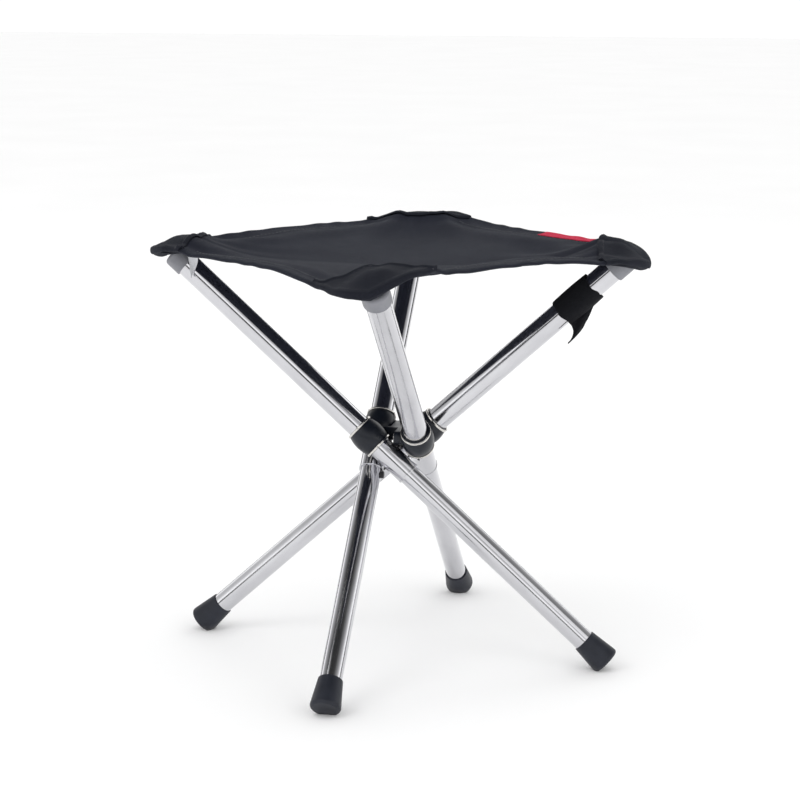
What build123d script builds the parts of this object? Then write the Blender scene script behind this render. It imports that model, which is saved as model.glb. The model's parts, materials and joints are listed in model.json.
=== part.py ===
from build123d import *
import math
import os

# Four-legged telescoping camp stool. Millimetres and degrees, +Z up, floor at Z = 0,
# origin on the floor under the middle of the seat. The stool has four-fold rotational symmetry
# about Z: everything that belongs to one pole is made once and turned by 90 degrees.

# ---- stance of the four poles ----
POLE_LETTERS = "abcd"
POLE_TILT = 47.8            # from vertical, when open
HUB_OFFSET = 22.5           # the four hubs sit at (+-22.5, +-22.5)
HUB_HEIGHT = 207.4

# ---- tubes, measured along the pole from its hub ----
OUTER_RADIUS = 11.0
OUTER_WALL = 1.0
OUTER_BOTTOM = -50.0
OUTER_TOP = 238.0
BEAD_HEIGHT = 1.8
BEAD_DEPTH = 0.35
INNER_RADIUS = 9.9
INNER_WALL = 1.0
INNER_TOP = -8.0
INNER_BOTTOM = -291.0

# ---- top cap ----
CAP_RADIUS = 12.5
CAP_BOTTOM = 227.3
CAP_TOP = 244.0
CAP_BORE_CLEARANCE = 0.05
CAP_FILLET = 3.0

# ---- foot ----
FOOT_TOP = -270.0
FOOT_BOTTOM = -298.7
FOOT_TOP_RADIUS = 11.0
FOOT_BOTTOM_RADIUS = 14.0
FOOT_FILLET = 3.0

# ---- hub ----
SLEEVE_HALF_LENGTH = 11.0
SLEEVE_END_RADIUS = 12.9
SLEEVE_MIDDLE_RADIUS = 15.0
SLEEVE_BORE_CLEARANCE = 0.05
NECK_RADIUS = 12.1
NECK_LENGTH = 2.3
RING_INNER_RADIUS = 12.15
RING_OUTER_RADIUS = 13.9
RING_THICKNESS = 2.1
BOSS_RADIUS = 6.2
BOSS_FACE = 15.7            # from the tube's axis, towards the middle of the stool
RIVET_RADIUS = 2.5
RIVET_BORE_RADIUS = 2.55
RIVET_HEAD_RADIUS = 4.1
RIVET_HEAD_HEIGHT = 1.1
RIVET_RECESS_RADIUS = 4.4

# ---- centre block: a small post with one arm plate for each hub ----
POST_HALF_WIDTH = 6.5
ARM_THICKNESS = 5.0
ARM_END_RADIUS = 6.0
ARM_HALF_HEIGHT = 6.0

# ---- snap button and its leaf spring, inside the inner tube ----
BUTTON_POSITION = -54.2     # along the pole, just below the outer tube's rim
BUTTON_RADIUS = 3.4
BUTTON_HOLE_RADIUS = 3.55
BUTTON_TIP = 12.9           # from the tube's axis
BUTTON_DOME = 1.4
BUTTON_FLANGE_RADIUS = 4.4
BUTTON_FLANGE_TOP = 7.3
BUTTON_BACK = 6.0
SPRING_WIDTH = 5.0
SPRING_STRIP = 0.5
SPRING_BACK_Y = -8.0
SPRING_BEND = -82.0
SPRING_END = -48.0

# ---- seat cloth, as eight flat facets: two for each corner ----
TIP_REACH = 224.0           # from the Z axis to the blunt corner edge, in the pole's own plane
TIP_HEIGHT = 371.0
TIP_HALF_WIDTH = 21.0
HEM_MIDDLE_HEIGHT = 376.0
HEM_INSET = 8.0
SEAT_CENTRE_HEIGHT = 361.0
CLOTH_THICKNESS = 1.6
SEAM_GAP = 0.3

# ---- corner pocket, a cloth hood over the cap ----
POCKET_HALF_WIDTH = 15.5
POCKET_CLEARANCE = 0.3
POCKET_SKIN = 1.2
POCKET_BELOW_TIP = 3.5
POCKET_MOUTH = 16.0         # inward from the highest point of the cap
LUMP_HALF_LENGTH = 5.0

# ---- storage strap, care label, woven tag ----
STRAP_START = 168.0
STRAP_END = 206.0
STRAP_INNER_RADIUS = 11.15
STRAP_OUTER_RADIUS = 13.4
STRAP_TAIL_THICKNESS = 1.6
TAIL_REACH = 14.0           # past the band's lower end, along the pole
TAIL_DROP = 11.5            # away from the tube
LABEL_THICKNESS = 0.8
LABEL_LEFT = -189.0
LABEL_WIDTH = 9.0
LABEL_LENGTH = 17.0
LABEL_DROP = 4.0            # below the corner's edge
LABEL_FROM_CAP = 2.2
TAG_LENGTH = 70.0
TAG_WIDTH = 13.0
TAG_THICKNESS = 0.8
TAG_FROM_CORNER = 92.0        # middle of the tag from the blunt corner, along the hem
TAG_FROM_EDGE = 3.0
TAG_LIFT = 0.05

parts = {}


def turn(shape, quarter):
    return Rotation(0, 0, 90 * quarter) * shape


def pole_frame():
    # local +Z runs up the pole, local +Y points along the pivot to the middle of the stool
    return Pos(-HUB_OFFSET, -HUB_OFFSET, HUB_HEIGHT) * Rotation(0, -POLE_TILT, 0)


def place_on_poles(name, shape):
    for quarter, letter in enumerate(POLE_LETTERS):
        parts[name + "_" + letter] = turn(pole_frame() * shape, quarter)


def ring_profile(points):
    # revolves a closed (radius, height) outline about the local Z axis
    return revolve(make_face(Plane.XZ * Polyline(*points, close=True)), Axis.Z)


def pipe(outer, inner, bottom, top):
    length = top - bottom
    middle = Pos(0, 0, (top + bottom) / 2)
    return middle * (Cylinder(outer, length) - Cylinder(inner, length + 2))


def outer_tube():
    bore = OUTER_RADIUS - OUTER_WALL
    tube = pipe(OUTER_RADIUS, bore, OUTER_BOTTOM, OUTER_TOP)
    bead = pipe(OUTER_RADIUS + BEAD_DEPTH, bore, OUTER_BOTTOM, OUTER_BOTTOM + BEAD_HEIGHT)
    bead = fillet(bead.edges().filter_by(GeomType.CIRCLE).sort_by(SortBy.RADIUS)[-2:], BEAD_DEPTH * 0.8)
    return tube + bead


def inner_tube():
    tube = pipe(INNER_RADIUS, INNER_RADIUS - INNER_WALL, INNER_BOTTOM, INNER_TOP)
    hole = Pos(0, INNER_RADIUS, BUTTON_POSITION) * Rotation(90, 0, 0) * Cylinder(BUTTON_HOLE_RADIUS, 8)
    return tube - hole


def top_cap():
    body = Pos(0, 0, (CAP_TOP + CAP_BOTTOM) / 2) * Cylinder(CAP_RADIUS, CAP_TOP - CAP_BOTTOM)
    body = fillet(body.edges().group_by(Axis.Z)[-1], CAP_FILLET)
    body = fillet(body.edges().group_by(Axis.Z)[0], 0.5)
    depth = OUTER_TOP - CAP_BOTTOM + CAP_BORE_CLEARANCE
    bore = Pos(0, 0, CAP_BOTTOM + depth / 2) * Cylinder(OUTER_RADIUS + CAP_BORE_CLEARANCE, depth)
    return body - bore


def foot():
    bore_radius = INNER_RADIUS + CAP_BORE_CLEARANCE
    bore_bottom = INNER_BOTTOM - CAP_BORE_CLEARANCE
    shell = ring_profile([(0, FOOT_BOTTOM), (FOOT_BOTTOM_RADIUS, FOOT_BOTTOM), (FOOT_TOP_RADIUS, FOOT_TOP),
                          (0, FOOT_TOP)])
    shell = fillet(shell.edges().group_by(Axis.Z)[0], FOOT_FILLET)
    shell = fillet(shell.edges().group_by(Axis.Z)[-1], 0.5)
    depth = FOOT_TOP - bore_bottom
    return shell - Pos(0, 0, bore_bottom + depth / 2) * Cylinder(bore_radius, depth)


def hub_sleeve():
    bore = OUTER_RADIUS + SLEEVE_BORE_CLEARANCE
    half = SLEEVE_HALF_LENGTH
    neck = half + NECK_LENGTH
    edge = [Line((bore, -neck), (NECK_RADIUS, -neck)), Line((NECK_RADIUS, -neck), (NECK_RADIUS, -half)),
            Line((NECK_RADIUS, -half), (SLEEVE_END_RADIUS, -half)),
            ThreePointArc((SLEEVE_END_RADIUS, -half), (SLEEVE_MIDDLE_RADIUS, 0), (SLEEVE_END_RADIUS, half)),
            Line((SLEEVE_END_RADIUS, half), (NECK_RADIUS, half)),
            Line((NECK_RADIUS, half), (NECK_RADIUS, neck)),
            Line((NECK_RADIUS, neck), (bore, neck)), Line((bore, neck), (bore, -neck))]
    barrel = revolve(make_face(Plane.XZ * Curve(edge)), Axis.Z)
    boss_root = bore + 0.6
    boss_length = BOSS_FACE - boss_root
    boss = Pos(0, boss_root + boss_length / 2, 0) * Rotation(90, 0, 0) * Cylinder(BOSS_RADIUS, boss_length)
    sleeve = barrel + boss
    sleeve -= Cylinder(bore, 3 * neck)
    sleeve -= Pos(0, bore + 5, 0) * Rotation(90, 0, 0) * Cylinder(RIVET_BORE_RADIUS, 12)
    recess = RIVET_HEAD_HEIGHT + 0.2
    sleeve -= Pos(0, bore + recess / 2, 0) * Rotation(90, 0, 0) * Cylinder(RIVET_RECESS_RADIUS, recess)
    return sleeve


def hub_rings():
    ring = pipe(RING_OUTER_RADIUS, RING_INNER_RADIUS, -RING_THICKNESS / 2, RING_THICKNESS / 2)
    ring = fillet(ring.edges().filter_by(GeomType.CIRCLE), RING_THICKNESS * 0.3)
    shift = SLEEVE_HALF_LENGTH + 0.05 + RING_THICKNESS / 2
    return Compound(children=[Pos(0, 0, shift) * ring, Pos(0, 0, -shift) * ring])


def snap_button():
    stem_length = BUTTON_TIP - BUTTON_FLANGE_TOP
    stem = Pos(0, 0, BUTTON_FLANGE_TOP + stem_length / 2) * Cylinder(BUTTON_RADIUS, stem_length)
    stem = fillet(stem.edges().group_by(Axis.Z)[-1], BUTTON_DOME)
    flange_height = BUTTON_FLANGE_TOP - BUTTON_BACK
    flange = Pos(0, 0, BUTTON_BACK + flange_height / 2) * Cylinder(BUTTON_FLANGE_RADIUS, flange_height)
    return Pos(0, 0, BUTTON_POSITION) * Rotation(-90, 0, 0) * (stem + flange)


def button_spring():
    # a V of spring strip: one leg behind the button, the other on the far wall of the inner tube
    front = BUTTON_BACK - 0.05 - SPRING_STRIP / 2
    route = FilletPolyline((front, SPRING_END), (front, BUTTON_POSITION - 6), (-1, SPRING_BEND),
                           (SPRING_BACK_Y, BUTTON_POSITION - 6), (SPRING_BACK_Y, SPRING_END), radius=1.5)
    strip = Plane.YZ * offset(route, SPRING_STRIP / 2, side=Side.BOTH)
    return Pos(-SPRING_WIDTH / 2, 0, 0) * extrude(make_face(strip), SPRING_WIDTH, dir=(1, 0, 0))


def centre_block():
    block = Box(2 * POST_HALF_WIDTH, 2 * POST_HALF_WIDTH, 2 * ARM_HALF_HEIGHT)
    middle_y = -POST_HALF_WIDTH + ARM_THICKNESS / 2
    for quarter in range(4):
        plate = Pos(-HUB_OFFSET / 2, middle_y, 0) * Box(HUB_OFFSET, ARM_THICKNESS, 2 * ARM_HALF_HEIGHT)
        end = Pos(-HUB_OFFSET, middle_y, 0) * Rotation(90, 0, 0) * Cylinder(ARM_END_RADIUS, ARM_THICKNESS)
        arm = plate + end
        arm -= Pos(-HUB_OFFSET, middle_y, 0) * Rotation(90, 0, 0) * Cylinder(RIVET_RADIUS, 2 * ARM_THICKNESS)
        block += turn(arm, quarter)
    return Pos(0, 0, HUB_HEIGHT) * block


def pivot_rivets():
    inner_face = -POST_HALF_WIDTH + ARM_THICKNESS
    formed_face = -HUB_OFFSET + OUTER_RADIUS + SLEEVE_BORE_CLEARANCE + 0.1
    start = formed_face + RIVET_HEAD_HEIGHT
    rivets = []
    for quarter in range(4):
        shaft = Cylinder(RIVET_RADIUS, inner_face - start)
        shaft = Pos(0, (start + inner_face) / 2, 0) * Rotation(90, 0, 0) * shaft
        formed = Pos(0, formed_face + RIVET_HEAD_HEIGHT / 2, 0) * Rotation(90, 0, 0) \
            * Cylinder(RIVET_HEAD_RADIUS, RIVET_HEAD_HEIGHT)
        head = Cylinder(RIVET_HEAD_RADIUS, RIVET_HEAD_HEIGHT)
        head = fillet(head.edges().group_by(Axis.Z)[-1], RIVET_HEAD_HEIGHT * 0.6)
        head = Pos(0, inner_face + RIVET_HEAD_HEIGHT / 2, 0) * Rotation(-90, 0, 0) * head
        rivet = Pos(-HUB_OFFSET, 0, HUB_HEIGHT) * (shaft + formed + head)
        rivets.append(turn(rivet, quarter))
    return Compound(children=rivets)


# ---- seat points for the corner of pole a, and for the hem on each side of it ----
TIP = Vector(-TIP_REACH, -HUB_OFFSET, TIP_HEIGHT)
CENTRE = Vector(0, 0, SEAT_CENTRE_HEIGHT)


def blunt_end(side):
    return Vector(TIP.X, TIP.Y - side * TIP_HALF_WIDTH, TIP.Z)


def hem_middle(side):
    # side +1 is the hem towards the next pole, -1 towards the one before
    here = blunt_end(side)
    there = blunt_end(-side).rotate(Axis.Z, 90 * side)
    middle = (here + there) * 0.5
    inward = Vector(-middle.X, -middle.Y, 0).normalized()
    middle = middle + inward * HEM_INSET
    return Vector(middle.X, middle.Y, HEM_MIDDLE_HEIGHT)


def facet_plane(side):
    # origin on the blunt corner edge, local X towards the middle of the seat, local Z up
    normal = (hem_middle(side) - TIP).cross(CENTRE - TIP).normalized() * side
    return Plane(origin=TIP, x_dir=(CENTRE - TIP).normalized(), z_dir=normal)


def seat_facet(side):
    plane = facet_plane(side)
    outline = [plane.to_local_coords(point) for point in (TIP, blunt_end(side), hem_middle(side), CENTRE)]
    face = make_face(Polyline(*[(point.X, point.Y) for point in outline], close=True))
    face = offset(face, -SEAM_GAP, kind=Kind.INTERSECTION)
    sheet = extrude(plane * face, CLOTH_THICKNESS / 2, both=True)
    return sheet - pocket_room()


def pocket_outline(grow):
    # side view of the pocket in the pole's own plane: blunt tip, lump over the cap, flat underside
    hub = Vector(-HUB_OFFSET, 0, HUB_HEIGHT)
    up_pole = Vector(-math.sin(math.radians(POLE_TILT)), 0, math.cos(math.radians(POLE_TILT)))
    across = Vector(up_pole.Z, 0, -up_pole.X)
    rim = hub + up_pole * CAP_TOP + across * CAP_RADIUS
    tip_bottom = TIP.Z - POCKET_BELOW_TIP - grow
    tip_top = TIP.Z + POCKET_SKIN + grow
    lump_top = rim.Z + POCKET_SKIN + grow
    mouth = rim.X + POCKET_MOUTH + grow
    return [(TIP.X - grow, tip_bottom), (TIP.X - grow, tip_top), (rim.X - LUMP_HALF_LENGTH, lump_top),
            (rim.X + LUMP_HALF_LENGTH, lump_top), (mouth, tip_top), (mouth, tip_bottom)]


def pocket_prism(grow):
    outline = [Vector(x, -HUB_OFFSET, z) for x, z in pocket_outline(grow)]
    face = make_face(Polyline(*outline, close=True))
    return extrude(face, POCKET_HALF_WIDTH + grow, dir=(0, 1, 0), both=True)


def pocket_room():
    return pocket_prism(POCKET_CLEARANCE)


def corner_pocket():
    depth = CAP_TOP + POCKET_CLEARANCE - STRAP_END
    cap_room = Pos(0, 0, STRAP_END + depth / 2) * Cylinder(CAP_RADIUS + POCKET_CLEARANCE, depth)
    return pocket_prism(0) - pole_frame() * cap_room


def strap_band():
    return pipe(STRAP_OUTER_RADIUS, STRAP_INNER_RADIUS, STRAP_START, STRAP_END)


def strap_tail():
    # pointed free end, hanging from the underside of the band: (along the pole, across it)
    low = -STRAP_OUTER_RADIUS - 0.1
    blade = [(STRAP_START + 2, low), (STRAP_START + 24, low), (STRAP_START + 10, low - 0.7 * TAIL_DROP),
             (STRAP_START - TAIL_REACH, low - TAIL_DROP)]
    outline = Polyline(*[Vector(across, 0, along) for along, across in blade], close=True)
    return extrude(make_face(outline), STRAP_TAIL_THICKNESS / 2, dir=(0, 1, 0), both=True)


def care_label():
    # small folded ribbon hanging from the underside of the corner, beside the cap
    top = TIP_HEIGHT - LABEL_DROP
    beside_cap = -HUB_OFFSET - CAP_RADIUS - LABEL_FROM_CAP
    left = LABEL_LEFT
    outline = [(left, top), (left + LABEL_WIDTH, top), (left + LABEL_WIDTH - 3, top - 11),
               (left, top - LABEL_LENGTH), (left + 3, top - 9)]
    face = make_face(Polyline(*[Vector(x, beside_cap, z) for x, z in outline], close=True))
    return extrude(face, LABEL_THICKNESS / 2, dir=(0, 1, 0), both=True)


def woven_tag():
    # flat tag sewn on top of the hem of the third corner, along the edge towards the fourth
    facet = facet_plane(1)
    corner, middle = [facet.to_local_coords(point) for point in (blunt_end(1), hem_middle(1))]
    along = Vector(middle.X - corner.X, middle.Y - corner.Y, 0).normalized()
    inward = Vector(-along.Y, along.X, 0)
    if inward.Y * middle.Y > 0:
        inward = inward * -1
    place = Vector(corner.X, corner.Y, 0) + along * TAG_FROM_CORNER + inward * (TAG_FROM_EDGE + TAG_WIDTH / 2)
    place = place + Vector(0, 0, CLOTH_THICKNESS / 2 + TAG_LIFT + TAG_THICKNESS / 2)
    tag = Plane(origin=place, x_dir=along, z_dir=(0, 0, 1)) * Box(TAG_LENGTH, TAG_WIDTH, TAG_THICKNESS)
    return turn(facet * tag, 2)


place_on_poles("outer_tube", outer_tube())
place_on_poles("top_cap", top_cap())
place_on_poles("hub_sleeve", hub_sleeve())
place_on_poles("hub_rings", hub_rings())
place_on_poles("inner_tube", inner_tube())
place_on_poles("snap_button", snap_button())
place_on_poles("button_spring", button_spring())

floor_cut = Pos(0, 0, -50) * Box(1000, 1000, 100)
foot_on_floor = pole_frame() * foot() - floor_cut
pocket = corner_pocket()
facet_next = seat_facet(1)
facet_before = seat_facet(-1)
for quarter, letter in enumerate(POLE_LETTERS):
    parts["foot_" + letter] = turn(foot_on_floor, quarter)
    parts["corner_pocket_" + letter] = turn(pocket, quarter)
    parts["seat_gore_" + letter + "_next"] = turn(facet_next, quarter)
    parts["seat_gore_" + letter + "_before"] = turn(facet_before, quarter)

parts["centre_block"] = centre_block()
parts["pivot_rivets"] = pivot_rivets()
parts["strap_band"] = turn(pole_frame() * strap_band(), 2)
parts["strap_tail"] = turn(pole_frame() * strap_tail(), 2)
parts["care_label"] = care_label()
parts["woven_tag"] = woven_tag()

os.makedirs("parts", exist_ok=True)
for name, shape in parts.items():
    export_step(shape, os.path.join("parts", name + ".step"))
print(len(parts), "nodes")
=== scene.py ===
import json
import math

import bpy
import numpy as np
from mathutils import Matrix, Vector


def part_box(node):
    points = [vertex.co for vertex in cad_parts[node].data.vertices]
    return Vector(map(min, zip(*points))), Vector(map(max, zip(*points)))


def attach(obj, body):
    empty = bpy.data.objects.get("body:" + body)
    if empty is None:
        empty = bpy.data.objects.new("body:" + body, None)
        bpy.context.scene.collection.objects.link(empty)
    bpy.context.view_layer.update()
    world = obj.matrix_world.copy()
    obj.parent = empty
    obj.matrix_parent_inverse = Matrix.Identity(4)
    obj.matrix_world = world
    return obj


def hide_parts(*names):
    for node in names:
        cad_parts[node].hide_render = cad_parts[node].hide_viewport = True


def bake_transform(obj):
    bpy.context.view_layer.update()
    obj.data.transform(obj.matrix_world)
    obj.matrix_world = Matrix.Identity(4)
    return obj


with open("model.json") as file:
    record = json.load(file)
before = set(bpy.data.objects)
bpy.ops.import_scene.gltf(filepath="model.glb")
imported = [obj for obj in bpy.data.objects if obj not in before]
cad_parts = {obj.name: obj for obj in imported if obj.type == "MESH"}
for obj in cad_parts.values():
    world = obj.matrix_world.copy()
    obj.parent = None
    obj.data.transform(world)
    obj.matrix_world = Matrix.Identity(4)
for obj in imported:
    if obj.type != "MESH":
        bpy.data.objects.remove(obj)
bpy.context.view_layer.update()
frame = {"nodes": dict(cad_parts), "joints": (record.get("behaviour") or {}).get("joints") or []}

# The stool has four poles, a to d, each a quarter turn on from the last. Everything is worked out for
# pole a and turned. Metres.
QUARTERS = "abcd"
SIDES = {"next": 1, "before": -1}       # the two seat gores of a corner
JOINTS = {joint["name"]: joint for joint in frame["joints"]}

HUB = Vector(JOINTS["fold_a"]["pos_m"])
UP_POLE = Vector(JOINTS["leg_slide_a"]["axis"])
POLE_TILT = math.atan2(-UP_POLE.x, UP_POLE.z)
TIP = Vector(JOINTS["cloth_a_next"]["pos_m"])       # middle of the blunt corner edge, where the cloth hinges
TIP_HALF_WIDTH = 0.021
# a blunt corner's end: the share of its half width where the turn has its corner, and the share of the hem
# where the turn ends
SOFT_NOSE = (0.68, 0.085)
SQUARE_NOSE = (1.0, 0.05)
SQUARE_ENDS = ((1, -1),)                # (quarter, side): the end of corner b's edge nearest to corner a
HEM_INSET = 0.008
CAP_TOP = 0.244                         # along the pole from its hub
CAP_RADIUS = 0.0125
CAP_RIM = HUB + UP_POLE * CAP_TOP + Vector((UP_POLE.z, 0, -UP_POLE.x)) * CAP_RADIUS


def turned(points, quarter):
    """Points, as rows of a numpy array, turned about Z by quarter turns."""
    turn = np.array(Matrix.Rotation(quarter * math.pi / 2, 3, "Z"))
    return np.asarray(points, float) @ turn.T


def pole_matrix(quarter):
    """Local Z runs up the pole from its hub, and local Y points to the middle of the stool."""
    return (Matrix.Rotation(quarter * math.pi / 2, 4, "Z") @ Matrix.Translation(HUB)
            @ Matrix.Rotation(-POLE_TILT, 4, "Y"))


def smooth(value, low=0.0, high=1.0):
    t = np.clip((value - low) / (high - low), 0, 1)
    return t * t * (3 - 2 * t)


def hill(value, middle, width):
    return np.exp(-((value - middle) / width) ** 2)


# ---------------------------------------------------------------- materials

class Nodes:
    """A material's node tree, with short ways to add nodes and join them."""

    def __init__(self, name):
        self.material = bpy.data.materials.new(name)
        self.material.use_nodes = True
        self.tree = self.material.node_tree
        self.shader = self.tree.nodes["Principled BSDF"]
        self.object_coords = self.add("ShaderNodeTexCoord").outputs["Object"]

    def add(self, kind, **settings):
        node = self.tree.nodes.new(kind)
        for key, value in settings.items():
            setattr(node, key, value)
        return node

    def put(self, socket, value):
        if isinstance(value, bpy.types.NodeSocket):
            self.tree.links.new(value, socket)
        else:
            socket.default_value = value

    def fill(self, node, **values):
        for key, value in values.items():
            self.put(node.inputs[key.replace("_", " ")], value)
        return node

    def noise(self, coords, scale, detail=3.0, roughness=0.5):
        node = self.fill(self.add("ShaderNodeTexNoise"), Vector=coords, Scale=scale, Detail=detail,
                         Roughness=roughness)
        return node.outputs["Fac"]

    def scaled(self, coords, scale):
        node = self.fill(self.add("ShaderNodeMapping", vector_type="POINT"), Vector=coords, Scale=scale)
        return node.outputs["Vector"]

    def math(self, operation, first, second=0.0):
        node = self.add("ShaderNodeMath", operation=operation)
        self.put(node.inputs[0], first)
        self.put(node.inputs[1], second)
        return node.outputs[0]

    def spread(self, value, low, high, from_low=0.3, from_high=0.7):
        node = self.fill(self.add("ShaderNodeMapRange"), Value=value, From_Min=from_low, From_Max=from_high,
                         To_Min=low, To_Max=high)
        return node.outputs["Result"]

    def mix(self, factor, first, second):
        node = self.add("ShaderNodeMix", data_type="RGBA")
        a, b = [socket for socket in node.inputs if socket.type == "RGBA"]
        self.put(node.inputs["Factor"], factor)
        self.put(a, first if isinstance(first, bpy.types.NodeSocket) else (*first, 1))
        self.put(b, second if isinstance(second, bpy.types.NodeSocket) else (*second, 1))
        return next(socket for socket in node.outputs if socket.type == "RGBA")

    def bump(self, height, distance, strength=1.0, onto=None):
        node = self.fill(self.add("ShaderNodeBump"), Height=height, Distance=distance, Strength=strength)
        if onto is not None:
            self.put(node.inputs["Normal"], onto)
        return node.outputs["Normal"]

    def turned_coords(self, coords, axis, angle):
        node = self.add("ShaderNodeVectorRotate", rotation_type=axis + "_AXIS")
        self.fill(node, Vector=coords, Angle=angle)
        return node.outputs["Vector"]

    def along_pole(self, quarter):
        upright = self.turned_coords(self.object_coords, "Z", -quarter * math.pi / 2)
        return self.turned_coords(upright, "Y", POLE_TILT)


def polished_steel(quarter):
    """Drawn and polished tube: fine lines along it, faint smudges."""
    nodes = Nodes("polished_steel_" + QUARTERS[quarter])
    coords = nodes.along_pole(quarter)
    lines = nodes.noise(nodes.scaled(coords, (700, 700, 5)), 1.0, 2.0)
    smudges = nodes.noise(nodes.scaled(coords, (45, 45, 16)), 1.0, 4.0, 0.6)
    roughness = nodes.math("ADD", nodes.spread(smudges, 0.05, 0.14), nodes.spread(lines, 0.0, 0.05))
    colour = nodes.mix(nodes.spread(smudges, 0.0, 1.0), (0.56, 0.56, 0.585), (0.67, 0.67, 0.695))
    nodes.fill(nodes.shader, Base_Color=colour, Roughness=roughness, Metallic=1.0,
               Normal=nodes.bump(lines, 0.00002, 0.5))
    return nodes.material


def plain_steel(name, dark, light, roughness, scale=400):
    nodes = Nodes(name)
    marks = nodes.noise(nodes.object_coords, scale, 4.0, 0.6)
    nodes.fill(nodes.shader, Base_Color=nodes.mix(nodes.spread(marks, 0, 1), dark, light), Metallic=1.0,
               Roughness=nodes.spread(marks, roughness - 0.06, roughness + 0.06),
               Normal=nodes.bump(marks, 0.00006, 0.3))
    return nodes.material


def moulded(name, dark, light, roughness, grain=1400, depth=0.00004):
    """Moulded plastic or rubber: fine grain, soft clouds of wear."""
    nodes = Nodes(name)
    fine = nodes.noise(nodes.object_coords, grain, 2.0, 0.6)
    clouds = nodes.noise(nodes.object_coords, 60, 4.0, 0.6)
    gloss = nodes.math("ADD", nodes.spread(clouds, roughness - 0.06, roughness + 0.06),
                       nodes.spread(fine, -0.04, 0.04))
    nodes.fill(nodes.shader, Base_Color=nodes.mix(nodes.spread(clouds, 0, 1), dark, light), Roughness=gloss,
               Normal=nodes.bump(fine, depth, 0.6), Specular_IOR_Level=0.35)
    return nodes


def rubber():
    """Moulded rubber, scuffed paler where it meets the ground."""
    nodes = moulded("black_rubber", (0.0100, 0.0120, 0.0190), (0.0190, 0.0220, 0.0330), 0.45, 900, 0.00008)
    colour = nodes.shader.inputs["Base Color"].links[0].from_socket
    place = nodes.add("ShaderNodeSeparateXYZ")
    nodes.put(place.inputs[0], nodes.object_coords)
    dust = nodes.noise(nodes.object_coords, 110, 4.0, 0.65)
    scuff = nodes.math("MULTIPLY", nodes.spread(place.outputs["Z"], 1.0, 0.0, 0.0, 0.007),
                       nodes.spread(dust, 0.1, 0.9))
    nodes.fill(nodes.shader, Base_Color=nodes.mix(scuff, colour, (0.075, 0.075, 0.078)))
    return nodes.material


def woven(name, dark, light, pitch, angle, depth, roughness=0.82, sheen=0.035, sheen_tint=(0.7, 0.8, 1.0)):
    """Plain weave: two sets of threads, over and under, with uneven yarns and soft wear."""
    nodes = Nodes(name)
    coords = nodes.turned_coords(nodes.object_coords, "Z", angle)
    split = nodes.add("ShaderNodeSeparateXYZ")
    nodes.put(split.inputs[0], coords)
    waver = nodes.spread(nodes.noise(nodes.object_coords, 90, 2.0), -0.35, 0.35)
    turns = 2 * math.pi / pitch
    warp, weft = [
        nodes.math("SINE", nodes.math("ADD", nodes.math("MULTIPLY", split.outputs[axis], turns), waver))
        for axis in "XY"]
    weave = nodes.math("MULTIPLY", warp, weft)
    slubs = nodes.noise(nodes.scaled(coords, (1500, 160, 400)), 1.0, 3.0, 0.6)
    clouds = nodes.noise(nodes.object_coords, 22, 4.0, 0.6)
    tone = nodes.math("ADD", nodes.math("MULTIPLY", nodes.spread(weave, 0, 1, -1, 1), 0.4),
                      nodes.math("ADD", nodes.math("MULTIPLY", nodes.spread(slubs, 0, 1), 0.3),
                                 nodes.math("MULTIPLY", nodes.spread(clouds, 0, 1), 0.3)))
    fine = nodes.bump(slubs, depth * 0.6, 0.5)
    nodes.fill(nodes.shader, Base_Color=nodes.mix(tone, dark, light),
               Roughness=nodes.spread(tone, roughness + 0.06, roughness - 0.08, 0, 1),
               Normal=nodes.bump(weave, depth, 0.8, onto=fine), Specular_IOR_Level=0.18,
               Sheen_Weight=sheen, Sheen_Roughness=0.45, Sheen_Tint=(*sheen_tint, 1))
    return nodes.material


def pile(name, dark, light):
    """Hook-and-loop pile: short tangled loops."""
    nodes = Nodes(name)
    loops = nodes.noise(nodes.object_coords, 1700, 5.0, 0.75)
    tufts = nodes.noise(nodes.object_coords, 260, 4.0, 0.7)
    fluff = nodes.bump(tufts, 0.0005, 0.5)
    nodes.fill(nodes.shader, Base_Color=nodes.mix(nodes.spread(loops, 0, 1, 0.35, 0.65), dark, light),
               Roughness=nodes.spread(tufts, 0.85, 1.0), Normal=nodes.bump(loops, 0.0003, 0.9, onto=fluff),
               Sheen_Weight=0.01, Sheen_Roughness=0.6, Specular_IOR_Level=0.2)
    return nodes.material


HEM_ANGLE = math.atan2(TIP.y, TIP.x) + math.pi / 4      # the hems face this way, and at right angles to it

THREAD_PITCH = 0.0011
CLOTH = woven("seat_cloth", (0.0070, 0.0080, 0.0142), (0.0148, 0.0168, 0.0290), THREAD_PITCH, -HEM_ANGLE,
              0.00010)
# The corner patches and the pockets take a darker copy of the seat cloth: the extra darkness is painted shade
# of the drooping corners.
SHADED_PATCH_CLOTH = woven("patch_cloth_painted_shade", (0.0058, 0.0066, 0.0112), (0.0122, 0.0138, 0.0225), THREAD_PITCH,
                    -HEM_ANGLE, 0.00012)
THREAD = moulded("seat_thread", (0.035, 0.037, 0.045), (0.085, 0.088, 0.10), 0.6, 2600, 0.00005).material
STRAP_CLOTH = pile("strap_pile", (0.0020, 0.0022, 0.0035), (0.0090, 0.0098, 0.0130))
LABEL_CLOTH = woven("label_ribbon", (0.66, 0.67, 0.70), (0.86, 0.87, 0.90), 0.0005, 0.3, 0.00004, 0.55, 0.1)
TAG_CLOTH = woven("tag_cloth", (0.42, 0.006, 0.035), (0.70, 0.016, 0.075), 0.0007, 0.9, 0.00012, 0.75, 0.02,
                  (1.0, 0.5, 0.6))


def paint(node, material):
    """A CAD node keeps its shape and takes a detailed material."""
    piece = frame["nodes"][node]
    piece.data.materials.clear()
    piece.data.materials.append(material)


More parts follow.
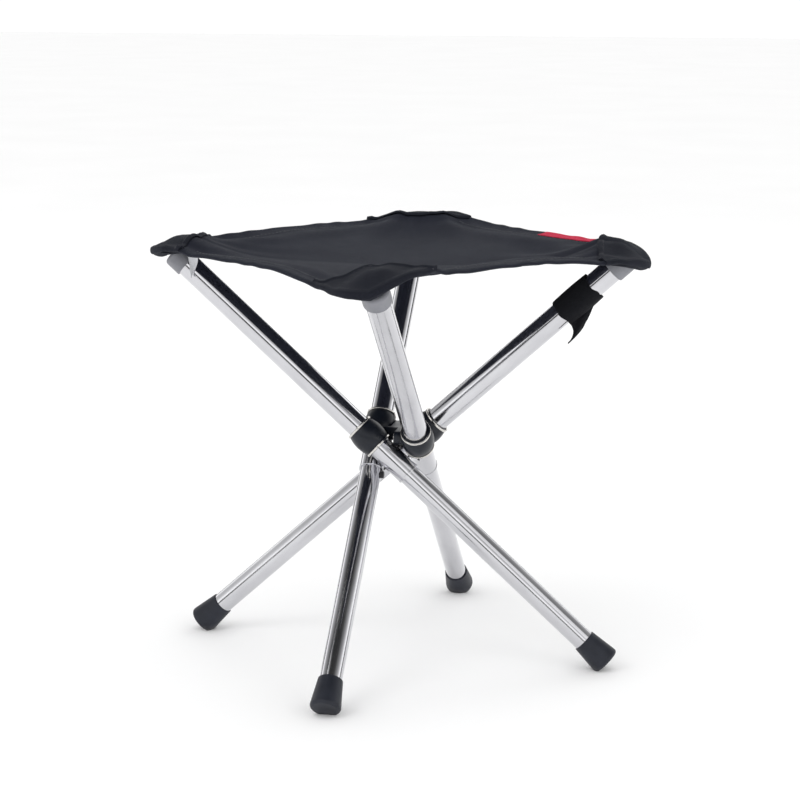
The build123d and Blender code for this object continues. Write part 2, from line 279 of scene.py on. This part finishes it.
def paint_frame():
    cap = moulded("grey_plastic", (0.195, 0.198, 0.220), (0.250, 0.254, 0.280), 0.42).material
    hub = moulded("black_plastic", (0.0060, 0.0078, 0.0130), (0.0105, 0.0135, 0.0215), 0.33).material
    button = moulded("button_plastic", (0.008, 0.008, 0.010), (0.015, 0.015, 0.018), 0.35).material
    ring = plain_steel("rolled_steel", (0.60, 0.58, 0.55), (0.80, 0.78, 0.75), 0.18)
    spring = plain_steel("spring_steel", (0.36, 0.36, 0.37), (0.55, 0.55, 0.56), 0.25)
    rivet = plain_steel("rivet_steel", (0.40, 0.39, 0.38), (0.62, 0.61, 0.60), 0.28, 300)
    foot = rubber()
    for quarter, letter in enumerate(QUARTERS):
        steel = polished_steel(quarter)
        for name, material in (("outer_tube", steel), ("inner_tube", steel), ("top_cap", cap),
                               ("hub_sleeve", hub), ("hub_rings", ring), ("snap_button", button),
                               ("button_spring", spring), ("foot", foot)):
            paint(name + "_" + letter, material)
    paint("centre_block", hub)
    paint("pivot_rivets", rivet)


# ---------------------------------------------------------------- mesh helpers

def new_piece(name, vertices, faces, material, smooth_faces=True):
    mesh = bpy.data.meshes.new(name)
    mesh.from_pydata([tuple(point) for point in vertices], [], faces)
    mesh.validate()
    mesh.update()
    mesh.polygons.foreach_set("use_smooth", [smooth_faces] * len(mesh.polygons))
    mesh.materials.append(material)
    piece = bpy.data.objects.new(name, mesh)
    bpy.context.scene.collection.objects.link(piece)
    return piece


def grid_normals(grid):
    """Unit normals of a grid of points, by differences along its rows and columns."""
    down = np.gradient(grid, axis=0)
    across = np.gradient(grid, axis=1)
    normals = np.cross(down, across)
    return normals / np.maximum(np.linalg.norm(normals, axis=2, keepdims=True), 1e-12)


def thick_sheet(name, grid, above, below, material, normals=None, pole_row=False):
    """A closed thin solid about a grid of points: above and below are its two offsets along the normals.
    pole_row says that the grid's last row is one point, where all the columns meet."""
    rows, columns = grid.shape[:2]
    if normals is None:
        normals = grid_normals(grid)
    above = np.broadcast_to(above, (rows, columns))[..., None]
    below = np.broadcast_to(below, (rows, columns))[..., None]
    top = grid + normals * above
    bottom = grid - normals * below
    vertices = np.concatenate([top.reshape(-1, 3), bottom.reshape(-1, 3)])
    count = rows * columns
    index = np.arange(count).reshape(rows, columns)
    if pole_row:
        index[-1, :] = index[-1, 0]
    faces, directions = [], []

    def add(corners, direction):
        face = [corner for place, corner in enumerate(corners) if corner != corners[place - 1]]
        if len(face) > 2:
            faces.append(face)
            directions.append(direction)

    for row in range(rows - 1):
        for column in range(columns - 1):
            a, b = index[row, column], index[row, column + 1]
            c, d = index[row + 1, column + 1], index[row + 1, column]
            add([int(a), int(d), int(c), int(b)], 1)
            add([int(a + count), int(b + count), int(c + count), int(d + count)], -1)
    rim = [index[row, 0] for row in range(rows)] + [index[-1, column] for column in range(1, columns)]
    rim += [index[row, -1] for row in range(rows - 2, -1, -1)]
    rim += [index[0, column] for column in range(columns - 2, 0, -1)]
    rim = [int(place) for order, place in enumerate(rim) if place != rim[order - 1]]
    for order, place in enumerate(rim):
        before = rim[order - 1]
        add([before, before + count, place + count, place], 0)

    used = sorted({corner for face in faces for corner in face})
    renumber = {old: new for new, old in enumerate(used)}
    faces = [[renumber[corner] for corner in face] for face in faces]
    piece = new_piece(name, vertices[used], faces, material)
    mesh = piece.data
    flat = normals.reshape(-1, 3)
    both = np.concatenate([flat, -flat])[used]
    walls = [direction == 0 for direction in directions]
    loop_normals = []
    for polygon, wall in zip(mesh.polygons, walls):
        for corner in polygon.vertices:
            loop_normals.append(tuple(polygon.normal) if wall else tuple(both[corner]))
    mesh.normals_split_custom_set(loop_normals)
    return piece


def stitches(name, centres, directions, normals, material, length=0.0027, width=0.0005):
    """A row of short threads, one mesh: each is a slim six-sided bead, half sunk in the cloth."""
    ring = [(math.cos(turn * math.pi / 3), math.sin(turn * math.pi / 3)) for turn in range(6)]
    stations = ((-0.5, 0.35), (-0.3, 1.0), (0.3, 1.0), (0.5, 0.35))
    vertices, faces = [], []
    for centre, along, up in zip(centres, directions, normals):
        along = along / np.linalg.norm(along)
        side = np.cross(up, along)
        start = len(vertices)
        for station, share in stations:
            for across, rise in ring:
                vertices.append(centre + along * station * length + side * across * share * width
                                + up * (rise * share * width * 0.8))
        for step in range(len(stations) - 1):
            for turn in range(6):
                first = start + step * 6 + turn
                second = start + step * 6 + (turn + 1) % 6
                faces.append([first, second, second + 6, first + 6])
        faces.append([start + turn for turn in range(5, -1, -1)])
        faces.append([start + (len(stations) - 1) * 6 + turn for turn in range(6)])
    return new_piece(name, vertices, faces, material)


# ---------------------------------------------------------------- seat cloth

CLOTH_HALF = 0.0008
HEM_WIDTH = 0.020
CENTRE_HEIGHT = 0.3612
HALF_SEAT = 0.166                       # from the middle to the middle of a hem
CORNER_HEIGHTS = (0.3712, 0.3690, 0.3655, 0.3765)        # of the four blunt edges, a to d
CORNER_TILTS = (0.0, -0.19, -0.10, 0.14)                  # sideways slope of those edges
HEM_HEIGHTS = (0.3785, 0.3817, 0.3785, 0.3795)          # middle of the hem from each corner to the next
LUMP_TOP = 0.3832                       # the cloth where it passes over the rim of a cap
RIM_INWARD = CAP_RIM.x - TIP.x          # how far inside the blunt edge that rim is
PATCH_REACH = 0.0425                    # how far the corner patch reaches in from the blunt edge
LUMP_WIDTH, LUMP_FALL = 0.020, 0.040    # of the lump over a cap: to its sides, and inwards
FOLD_HEIGHT = 0.0060                    # of the fold across a corner
WRINKLE_HEIGHT = 0.0010
FAN_SETBACK = 0.03                      # how far outside the blunt edge the wrinkles seem to start
TIGHT_LINE_HEIGHT = 0.0030              # of the ridge from cap to cap
RIPPLE_HEIGHT, RIPPLE_LENGTH = 0.0004, 0.034             # of the sewn hem's ripples
FULL_SEAM, HEM_COLUMNS = 0.5, 32        # a gore runs to the middle of the hem, in this many columns
POCKET_ROOT = 0.040                     # how far the pocket's upper layer reaches in
POCKET_INSET = 0.0024                   # how far the pocket's fold lies inside the cloth's edge


def base_height(x, y):
    """The seat without its lumps: low in the middle, with its own height at each corner and hem."""
    eighth = (np.arctan2(y, x) - math.atan2(TIP.y, TIP.x)) / (math.pi / 4) % 8
    place = np.floor(eighth).astype(int) % 8
    knots = np.array([height for pair in zip(CORNER_HEIGHTS, HEM_HEIGHTS) for height in pair])
    # from each corner the hem's height changes fast, and then levels out towards the hem's middle
    from_corner = np.where(place % 2 == 0, eighth - np.floor(eighth), 1 - (eighth - np.floor(eighth)))
    corner_height = np.where(place % 2 == 0, knots[place], knots[(place + 1) % 8])
    hem_height = np.where(place % 2 == 0, knots[(place + 1) % 8], knots[place])
    share = 1 - (1 - from_corner) ** 2.6
    edge = corner_height * (1 - share) + hem_height * share
    u = (x * math.cos(HEM_ANGLE) + y * math.sin(HEM_ANGLE)) / HALF_SEAT
    v = (y * math.cos(HEM_ANGLE) - x * math.sin(HEM_ANGLE)) / HALF_SEAT
    out = np.minimum((u ** 6 + v ** 6) ** (1 / 6), 1.12)
    return CENTRE_HEIGHT + (edge - CENTRE_HEIGHT) * out ** 1.35


LUMP_RISES = []
for corner_number in range(4):
    rim_x, rim_y, _ = turned([CAP_RIM], corner_number)[0]
    LUMP_RISES.append(LUMP_TOP - float(base_height(np.array([rim_x]), np.array([rim_y]))[0]))

wrinkle_random = np.random.default_rng(7)
WRINKLE_PHASES = wrinkle_random.uniform(0, 2 * math.pi, (4, 6))


def corner_shape(inward, aside, rise, tilt, phases):
    """What a corner adds: the lump over the cap, a fold across the corner, wrinkles that fan out of it, and
    the sideways slope of its edge."""
    climb = smooth(inward, -0.002, RIM_INWARD - 0.001)
    plateau_end = RIM_INWARD + 0.008
    fall = np.where(inward > plateau_end, hill(inward, plateau_end, LUMP_FALL), 1)
    width = LUMP_WIDTH + 0.30 * np.maximum(inward - RIM_INWARD, 0)
    lump = rise * climb * fall * hill(aside, 0, width)
    # the fold is gentle on its outer side and steep on its inner one, and lower in its middle
    fold = np.where(inward < PATCH_REACH, hill(inward, PATCH_REACH, 0.024), hill(inward, PATCH_REACH, 0.009))
    fold = FOLD_HEIGHT * fold * np.exp(-(aside / 0.046) ** 4) * (1 - 0.6 * hill(aside, 0, 0.018))
    reach = np.hypot(inward + FAN_SETBACK, aside)
    fan = np.arctan2(aside, inward + FAN_SETBACK)
    waves = (np.sin(11 * fan + phases[0]) + 0.6 * np.sin(19 * fan + phases[1])
             + 0.4 * np.sin(31 * fan + phases[2]))
    wrinkles = WRINKLE_HEIGHT * waves * smooth(reach, 0.045, 0.085) * (1 - smooth(reach, 0.11, 0.21))
    twist = tilt * np.clip(aside, -0.05, 0.05) * hill(inward, 0, 0.05)
    return lump + fold + wrinkles + twist


def hem_coordinates(x, y):
    """(distance in from the nearest hem, place along it, a number for each hem)."""
    u = x * math.cos(HEM_ANGLE) + y * math.sin(HEM_ANGLE)
    v = y * math.cos(HEM_ANGLE) - x * math.sin(HEM_ANGLE)
    upright = np.abs(u) > np.abs(v)
    across, along = np.where(upright, u, v), np.where(upright, v, u)
    bow = HEM_INSET * np.clip(1 - (along / 0.145) ** 2, 0, 1)
    number = np.where(upright, np.where(u > 0, 0, 2), np.where(v > 0, 1, 3))
    return HALF_SEAT + HEM_INSET - bow - np.abs(across), along, number


def seat_height(x, y):
    total = base_height(x, y)
    for quarter in range(4):
        back = turned(np.stack([x, y, np.zeros_like(x)], -1), -quarter)
        inward, aside = back[..., 0] - TIP.x, back[..., 1] - TIP.y
        total = total + corner_shape(inward, aside, LUMP_RISES[quarter], CORNER_TILTS[quarter],
                                     WRINKLE_PHASES[quarter])
        # the cloth is tight along the straight line from this cap to the next
        start = np.array([CAP_RIM.x + 0.006, CAP_RIM.y])
        end = turned([[start[0], start[1], 0]], 1)[0, :2]
        line = (end - start) / np.linalg.norm(end - start)
        offset = back[..., :2] - start
        along = offset @ line / np.linalg.norm(end - start)
        off_line = offset[..., 0] * -line[1] + offset[..., 1] * line[0]
        within = smooth(along, 0.0, 0.18) * (1 - smooth(along, 0.82, 1.0))
        total = total + TIGHT_LINE_HEIGHT * within * hill(off_line, 0, 0.014)
    inset, along, number = hem_coordinates(x, y)
    drift = 1.7 * np.sin(along * 2 * math.pi / 0.11 + number)
    ripple = np.sin(along * 2 * math.pi / RIPPLE_LENGTH + drift + 2 * number)
    return total + RIPPLE_HEIGHT * ripple * np.exp(-np.maximum(inset, 0) / 0.011)


def seat_normals(x, y):
    step = 0.0004
    slope_x = (seat_height(x + step, y) - seat_height(x - step, y)) / (2 * step)
    slope_y = (seat_height(x, y + step) - seat_height(x, y - step)) / (2 * step)
    normals = np.stack([-slope_x, -slope_y, np.ones_like(slope_x)], -1)
    return normals / np.linalg.norm(normals, axis=-1, keepdims=True)


def hem_point(side, share):
    """On corner a's hem towards its neighbour: share 0 at the blunt corner edge, 0.5 at the hem's middle."""
    start = Vector((TIP.x, TIP.y - side * TIP_HALF_WIDTH))
    far = Vector((TIP.x, TIP.y + side * TIP_HALF_WIDTH))
    far.rotate(Matrix.Rotation(side * math.pi / 2, 2))
    middle = (start + far) / 2
    return start + (far - start) * share - middle.normalized() * HEM_INSET * 4 * share * (1 - share)


def corner_outline(quarter, side, last_share, hem_columns):
    """Points from the middle of the blunt edge, round its corner and along the hem."""
    spread, first_share = SQUARE_NOSE if (quarter, side) in SQUARE_ENDS else SOFT_NOSE
    nose = Vector((TIP.x, TIP.y))
    corner = Vector((TIP.x + 0.0005, TIP.y - side * TIP_HALF_WIDTH * spread))
    turn_end = hem_point(side, first_share)
    points = []
    for share in np.linspace(0, 1, 12):
        points.append(nose.lerp(corner, share).lerp(corner.lerp(turn_end, share), share))
    points += [hem_point(side, share) for share in np.linspace(first_share, last_share, hem_columns)[1:]]
    return np.array([tuple(point) for point in points])


def gore_grid(quarter, side):
    """Plan points: each column runs from the outline in to the middle. The last row is the middle itself."""
    outline = corner_outline(quarter, side, FULL_SEAM, HEM_COLUMNS)
    reach = np.linalg.norm(outline, axis=1)
    near = np.concatenate([[0, 0.0004, 0.0011, 0.0022, 0.0038], np.arange(0.006, 0.0605, 0.0026)])
    far = np.linspace(0, 1, 30)[1:]
    rows = [outline * (1 - inset / reach)[:, None] for inset in near]
    inner = outline * (1 - near[-1] / reach)[:, None]
    rows += [inner * (1 - share) for share in far]
    insets = np.concatenate([near, near[-1] + far * (HALF_SEAT - near[-1])])
    return np.stack(rows), insets


def on_seat(plan, quarter):
    """Plan points of corner a's gore, turned to a quarter and lifted on to the seat, with their normals."""
    flat = turned(np.concatenate([plan, np.zeros(plan.shape[:-1] + (1,))], -1), quarter)
    x, y = flat[..., 0], flat[..., 1]
    return np.stack([x, y, seat_height(x, y)], -1), seat_normals(x, y)


def hem_depth(plan):
    """Distance in from the two hems of corner a."""
    inset, _, _ = hem_coordinates(plan[..., 0], plan[..., 1])
    return inset


def bend_with_gore(piece):
    """Bakes the piece's placement into its mesh; nothing here bends it or ties it to the pole or the gore."""
    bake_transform(piece)


def make_gore(letter, side_name):
    quarter, side = QUARTERS.index(letter), SIDES[side_name]
    plan, insets = gore_grid(quarter, side)
    grid, normals = on_seat(plan, quarter)
    depth = hem_depth(plan)
    rounding = np.sqrt(1 - (1 - np.clip(insets / 0.0016, 0.06, 1)) ** 2)[:, None]
    hem = 1 - smooth(depth, HEM_WIDTH - 0.002, HEM_WIDTH + 0.002)
    bead = 0.0007 * hill(insets, 0.003, 0.002)[:, None]
    above = (CLOTH_HALF + 0.0005 * hem + bead) * rounding
    below = (CLOTH_HALF + 0.0012 * hem) * rounding
    if side > 0:
        grid, normals = grid[:, ::-1], normals[:, ::-1]
        above, below = above[:, ::-1], below[:, ::-1]
    name = "seat_gore_" + letter + "_" + side_name
    piece = thick_sheet("cloth_" + letter + "_" + side_name, grid, above, below, CLOTH, normals,
                        pole_row=True)
    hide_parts(name)
    return piece


def patch_grid(quarter, side):
    """Plan points of a corner patch, from the fold across the corner out to the edge. The first column is a
    spare one across the seam, there only so that the normals are right at the seam."""
    outline = corner_outline(quarter, side, 0.165, 16)
    spare = outline[1].copy()
    spare[1] = 2 * TIP.y - spare[1]
    outline = np.concatenate([[spare], outline])
    direction = outline / np.linalg.norm(outline, axis=1)[:, None]
    aside = np.abs(outline[:, 1] - TIP.y)
    reach = PATCH_REACH + 0.003 * np.cos(aside / 0.02)
    length = np.maximum((outline[:, 0] - TIP.x - reach) / direction[:, 0], 0.0045)
    shares = np.concatenate([[0, 0.0006, 0.0016, 0.003, 0.0045, 0.0065], np.linspace(0.010, 1, 16)])
    rows = []
    for order, share in enumerate(shares):
        inset = length - share if order < 6 else length * (1 - share)
        rows.append(outline - direction * np.maximum(inset, 0.0)[:, None])
    return np.stack(rows), outline, direction, length


def make_patch(letter, side_name):
    """The reinforcing patch of one corner gore: a rolled fold at its inner edge, and a lip over its outer."""
    quarter, side = QUARTERS.index(letter), SIDES[side_name]
    plan, outline, direction, length = patch_grid(quarter, side)
    inset = np.linalg.norm(outline[None] - plan, axis=2)
    from_fold = length[None] - inset
    order = np.argsort(-inset, axis=0)
    plan = np.take_along_axis(plan, order[..., None], axis=0)
    inset = np.take_along_axis(inset, order, axis=0)
    from_fold = np.take_along_axis(from_fold, order, axis=0)
    grid, normals = on_seat(plan, quarter)
    roll = 0.0016 * hill(from_fold, 0.0026, 0.0019)
    lift = CLOTH_HALF + 0.0011 + 0.0007 * hill(inset, 0.003, 0.002) + roll
    middle = grid + normals * lift[..., None]

    # the lip is deeper along the blunt edge than along the hem
    aside = np.abs(outline[:, 1] - TIP.y)
    drop = 0.0026 + 0.0030 * (1 - smooth(aside, TIP_HALF_WIDTH * 0.8, TIP_HALF_WIDTH * 2.2))
    outward = np.concatenate([direction, np.zeros((len(direction), 1))], 1)
    outward = turned(outward, quarter)
    lip = []
    for out, down in ((0.0004, 0.0005), (0.0007, 0.0014), (0.0008, 0.5), (0.0005, 0.8), (-0.0002, 0.97),
                      (-0.0020, 1.0)):
        fall = drop * down if down > 0.1 else np.full(len(drop), down)
        point = middle[-1] + outward * out
        point[:, 2] -= fall
        lip.append(point)
    middle = np.concatenate([middle, np.stack(lip)])
    if side < 0:
        middle = middle[:, ::-1]
    normals = grid_normals(middle)
    keep = slice(0, -1) if side < 0 else slice(1, None)
    half = np.full(middle.shape[:2], 0.0006)
    half[0], half[-1] = 0.0002, 0.0003
    piece = thick_sheet("patch_" + letter + "_" + side_name, middle[:, keep], half[:, keep], half[:, keep],
                        SHADED_PATCH_CLOTH, normals[:, keep])
    return piece


def stitch_line(plan_points, quarter, spacing=0.0042):
    """Evenly spaced places along a line on the seat, with directions and normals."""
    steps = np.linalg.norm(np.diff(plan_points, axis=0), axis=1)
    length = np.concatenate([[0], np.cumsum(steps)])
    count = max(int(length[-1] / spacing), 2)
    at = (np.arange(count) + 0.5) * length[-1] / count
    even = np.stack([np.interp(at, length, plan_points[:, axis]) for axis in range(2)], -1)
    places, normals = on_seat(even, quarter)
    directions = np.gradient(places, axis=0)
    return places, directions, normals


def make_stitches(letter, side_name):
    quarter, side = QUARTERS.index(letter), SIDES[side_name]
    hem = np.array([tuple(hem_point(side, share)) for share in np.linspace(0.17, 0.5, 60)])
    middle = hem_point(side, 0.5).normalized()
    hem = hem - np.array(middle) * (HEM_WIDTH - 0.0035)
    places, directions, normals = stitch_line(hem, quarter)
    places = places + normals * (CLOTH_HALF + 0.0006)
    aside = np.linspace(0.001, 0.047, 24)
    fold = np.stack([TIP.x + PATCH_REACH - 0.0045 + 0.003 * np.cos(aside / 0.02), TIP.y - side * aside], -1)
    more_places, more_directions, more_normals = stitch_line(fold, quarter)
    more_places = more_places + more_normals * (CLOTH_HALF + 0.0019)
    piece = stitches("stitches_" + letter + "_" + side_name, np.concatenate([places, more_places]),
                     np.concatenate([directions, more_directions]), np.concatenate([normals, more_normals]),
                     THREAD)
    return piece


def nose_setback(quarter, aside):
    """How far the rounded end of a corner lies behind its middle, at a distance to the side of it."""
    next_side, before_side = [
        np.interp(np.abs(aside), np.abs(outline[:, 1] - TIP.y), outline[:, 0] - TIP.x)
        for outline in (corner_outline(quarter, side, 0.2, 12) for side in (1, -1))]
    return np.where(aside < 0, next_side, before_side)


def make_pocket(letter):
    """The pocket under a corner: one piece of cloth that runs from under the seat, round the blunt edge and
    back along the underside to a mouth that hugs the cap."""
    quarter = QUARTERS.index(letter)
    columns, top_rows, under_rows = 33, 22, 14
    across = np.linspace(-1, 1, columns)
    sewn = np.abs(across) ** 5
    level = np.zeros(columns)
    root_width, nose_width, mouth_width = 0.0165, 0.0180, 0.0165        # half widths

    nose_aside = across * nose_width
    nose_inward = nose_setback(quarter, nose_aside) + POCKET_INSET
    rows = []
    for share in np.linspace(0, 1, top_rows):
        inward = POCKET_ROOT * (1 - share) + nose_inward * share
        aside = across * (root_width + (nose_width - root_width) * smooth(share))
        places, _ = on_seat(np.stack([TIP.x + inward, TIP.y + aside], -1), quarter)
        places[:, 2] -= 0.0019 + 0.0012 * sewn
        rows.append(places)
    top_edge = rows[-1]
    under = top_edge[:, 2] - 0.0031 + 0.0030 * sewn
    outward = turned([[-1, 0, 0]], quarter)[0] * 0.0011
    for share in (0.3, 0.7):
        row = top_edge + outward
        row[:, 2] = top_edge[:, 2] * (1 - share) + under * share
        rows.append(row)
    mouth = 0.0128 + 0.020 * (1 - np.sqrt(np.clip(1 - (across * 1.08) ** 2, 0, 1)))
    for share in np.linspace(0, 1, under_rows):
        inward = nose_inward + (mouth - nose_inward) * share
        aside = across * (nose_width + (mouth_width - nose_width) * share)
        row = turned(np.stack([TIP.x + inward, TIP.y + aside, level], -1), quarter)
        row[:, 2] = under - 0.0012 * math.sin(share * math.pi) * (1 - across ** 2)
        rows.append(row)
    grid = np.stack(rows)
    piece = thick_sheet("pocket_" + letter, grid, 0.00045, 0.00045, SHADED_PATCH_CLOTH)
    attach(piece, "pole_" + letter)
    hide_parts("corner_pocket_" + letter)
    return piece


def make_tag():
    """A plain woven tag, sewn flat on the hem from corner c to corner d. It follows the cloth under it."""
    length, width, from_corner, from_edge = 0.070, 0.013, 0.092, 0.003
    start, end = hem_point(1, 0), hem_point(1, 0.5)
    along = (end - start).normalized()
    inward = Vector((-along.y, along.x))
    if inward.dot(end) > 0:
        inward = -inward
    row_count, column_count = 12, 60
    rows = []
    for across in np.linspace(0, width, row_count):
        row = []
        for place in np.linspace(-length / 2, length / 2, column_count):
            point = start + along * (from_corner + place) + inward * (from_edge + across)
            row.append(tuple(point))
        rows.append(row)
    grid, normals = on_seat(np.array(rows), 2)
    row, column = np.arange(row_count), np.arange(column_count)
    distance = np.minimum.outer(np.minimum(row, row[::-1]), np.minimum(column, column[::-1]))
    edge = np.minimum(distance / 2.0, 1)
    grid = grid + normals * (CLOTH_HALF + 0.0011 + 0.0002 * edge)[..., None]
    if np.cross(grid[1, 0] - grid[0, 0], grid[0, 1] - grid[0, 0])[2] < 0:
        grid, normals = grid[:, ::-1], normals[:, ::-1]
    piece = thick_sheet("woven_tag_cloth", grid, 0.0004, 0.0003, TAG_CLOTH, normals)
    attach(piece, "gore_c_next")
    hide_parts("woven_tag")
    return piece


def make_label():
    """A small ribbon, sewn in under corner a, narrowing and twisting as it hangs."""
    low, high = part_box("care_label")
    top, drop = high.z + 0.004, high.z - low.z + 0.004
    middle_x, face_y = (low.x + high.x) / 2 + 0.003, (low.y + high.y) / 2 - 0.001
    rows = []
    for share in np.linspace(0, 1, 30):
        twist = 1.9 * share ** 1.3
        half = 0.0046 * (1 - 0.55 * share)
        centre = np.array([middle_x + 0.0006 * math.sin(share * 5) - 0.001 * share,
                           face_y + 0.0012 * math.sin(share * 4), top - drop * share])
        across = np.array([math.cos(twist), math.sin(twist), 0.15 * math.sin(share * 6)])
        rows.append([centre + across * half * side for side in np.linspace(-1, 1, 9)])
    piece = thick_sheet("care_label_ribbon", np.array(rows), 0.00022, 0.00022, LABEL_CLOTH)
    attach(piece, "pole_a")
    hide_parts("care_label")
    return piece


def make_strap():
    """A band of hook-and-loop, wrapped a little over one turn round tube c, its end lying over itself."""
    bottom, top, inner = 0.168, 0.206, 0.0119
    place = pole_matrix(2)
    start, wrap = math.radians(205), math.radians(390)
    rows = []
    for share in np.linspace(0, 1, 110):
        angle = start + share * wrap
        second_turn = float(smooth(np.array(share), 0.70, 0.92))
        loose_end = float(smooth(np.array(share), 0.90, 1.0))
        radius = inner + 0.0016 * second_turn + 0.0004 * math.sin(angle * 3 + 1) + 0.0028 * loose_end
        row = []
        for height in np.linspace(0, 1, 26):
            edge = 0.0007 * math.sin(angle * 2.3) + 0.0005 * math.sin(angle * 5.1 + 2)
            belly = 0.0005 * math.sin(height * math.pi)
            along = bottom + edge + (top - bottom) * height - 0.0015 * share
            spread = radius + belly
            row.append(tuple(place @ Vector((spread * math.cos(angle), spread * math.sin(angle), along))))
        rows.append(row)
    piece = thick_sheet("strap_wrap", np.array(rows), 0.00065, 0.00065, STRAP_CLOTH)
    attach(piece, "pole_c")
    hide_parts("strap_band")
    return piece


def make_strap_tail():
    """The strap's free end: a blade that leaves the band and hangs to a point, with a slight curl."""
    bottom, outside = 0.168, 0.0130
    place = pole_matrix(2)
    roots = [Vector((-outside, 0.004, bottom - 0.001)), Vector((-outside, -0.002, bottom + 0.026))]
    tip = Vector((-outside - 0.0115, 0.001, bottom - 0.014))
    middle, half_root = (roots[0] + roots[1]) / 2, (roots[1] - roots[0]) / 2
    rows = []
    for share in np.linspace(0, 1, 28):
        narrow = 1 - 0.95 * share ** 0.8
        spine = middle.lerp(tip, share) + Vector((-0.003, 0.002, 0.001)) * math.sin(share * math.pi)
        rows.append([tuple(place @ (spine + half_root * narrow * side
                                    + Vector((0, 0.0012 * math.sin(3 * side + 5 * share), 0))))
                     for side in np.linspace(-1, 1, 17)])
    piece = thick_sheet("strap_end", np.array(rows), 0.0006, 0.0006, STRAP_CLOTH)
    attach(piece, "pole_c")
    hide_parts("strap_tail")
    return piece


# ---------------------------------------------------------------- build the pieces

paint_frame()
for letter in QUARTERS:
    make_pocket(letter)
    for side_name in SIDES:
        cloth = make_gore(letter, side_name)
        patch = make_patch(letter, side_name)
        thread = make_stitches(letter, side_name)
        edge = corner_outline(QUARTERS.index(letter), SIDES[side_name], FULL_SEAM, HEM_COLUMNS)
        for piece in (cloth, patch, thread):
            bend_with_gore(piece)
make_tag()
make_label()
make_strap()
make_strap_tail()


# ---------------------------------------------------------------- camera, light and floor

def make_camera():
    """A long lens, a little right of the front and a little above the seat."""
    aim = Vector((0, 0, 0.187))
    distance, right, above = 2.0154, math.radians(11.83), math.radians(13.10)
    offset = Vector((math.sin(right) * math.cos(above), -math.cos(right) * math.cos(above), math.sin(above)))
    camera_data = bpy.data.cameras.new("photo_view")
    camera_data.lens = 98.5
    camera_data.sensor_width = 36
    camera_data.shift_x, camera_data.shift_y = 0.0021, 0.0674
    camera_data.clip_start, camera_data.clip_end = 0.05, 50
    camera = bpy.data.objects.new("photo_view", camera_data)
    bpy.context.scene.collection.objects.link(camera)
    camera.location = aim + offset * distance
    camera.rotation_euler = (-offset).to_track_quat("-Z", "Y").to_euler()
    bpy.context.scene.camera = camera


def make_light(name, place, aim, size, power, colour=(1, 1, 1)):
    data = bpy.data.lights.new(name, "AREA")
    data.shape, data.size, data.size_y = "RECTANGLE", size[0], size[1]
    data.energy, data.color = power, colour
    light = bpy.data.objects.new(name, data)
    light.location = place
    light.rotation_euler = (Vector(aim) - Vector(place)).to_track_quat("-Z", "Y").to_euler()
    bpy.context.scene.collection.objects.link(light)


def make_floor():
    nodes = Nodes("studio_floor")
    clouds = nodes.noise(nodes.object_coords, 3, 2.0)
    colour = nodes.mix(nodes.spread(clouds, 0, 1), (0.95, 0.95, 0.95), (0.97, 0.97, 0.97))
    nodes.fill(nodes.shader, Base_Color=colour, Roughness=0.9)
    side = 14.0
    floor = new_piece("floor", [(-side, -side, 0), (side, -side, 0), (side, side, 0), (-side, side, 0)],
                      [[0, 1, 2, 3]], nodes.material, False)


def make_world():
    """A white studio. Polished metal sees it with grey bands, as flags and the room's far walls make."""
    world = bpy.data.worlds.new("studio")
    world.use_nodes = True
    bpy.context.scene.world = world
    tree = world.node_tree
    tree.nodes.clear()
    output = tree.nodes.new("ShaderNodeOutputWorld")
    background = tree.nodes.new("ShaderNodeBackground")
    ramp = tree.nodes.new("ShaderNodeValToRGB")
    split = tree.nodes.new("ShaderNodeSeparateXYZ")
    coords = tree.nodes.new("ShaderNodeTexCoord")
    paths = tree.nodes.new("ShaderNodeLightPath")
    mix = tree.nodes.new("ShaderNodeMix")
    mix.data_type = "RGBA"
    colours = [socket for socket in mix.inputs if socket.type == "RGBA"]
    tree.links.new(coords.outputs["Generated"], split.inputs[0])
    tree.links.new(split.outputs["Z"], ramp.inputs[0])
    tree.links.new(paths.outputs["Is Glossy Ray"], mix.inputs["Factor"])
    colours[0].default_value = (1.0, 1.0, 1.0, 1)
    tree.links.new(ramp.outputs["Color"], colours[1])
    tree.links.new(next(s for s in mix.outputs if s.type == "RGBA"), background.inputs["Color"])
    background.inputs["Strength"].default_value = 1.05
    tree.links.new(background.outputs[0], output.inputs[0])
    bands = ((0.0, 0.05), (0.12, 0.09), (0.155, 1.35), (0.28, 1.40), (0.35, 0.80), (0.55, 0.40), (0.70, 0.22),
             (0.86, 0.06), (1.0, 0.03))
    elements = ramp.color_ramp.elements
    while len(elements) > 1:
        elements.remove(elements[0])
    for order, (place, grey) in enumerate(bands):
        element = elements[0] if order == 0 else elements.new(place)
        element.position = place
        element.color = (grey, grey, grey, 1)


make_camera()
make_floor()
make_world()
make_light("key", (-1.4, -1.6, 2.4), (0, 0, 0.2), (1.6, 1.6), 12)
make_light("fill", (1.9, -1.2, 1.2), (0, 0, 0.2), (1.2, 1.8), 5)
make_light("back", (0.4, 2.2, 1.8), (0, 0, 0.3), (2.0, 1.2), 7)

scene = bpy.context.scene
scene.view_settings.view_transform = "Standard"
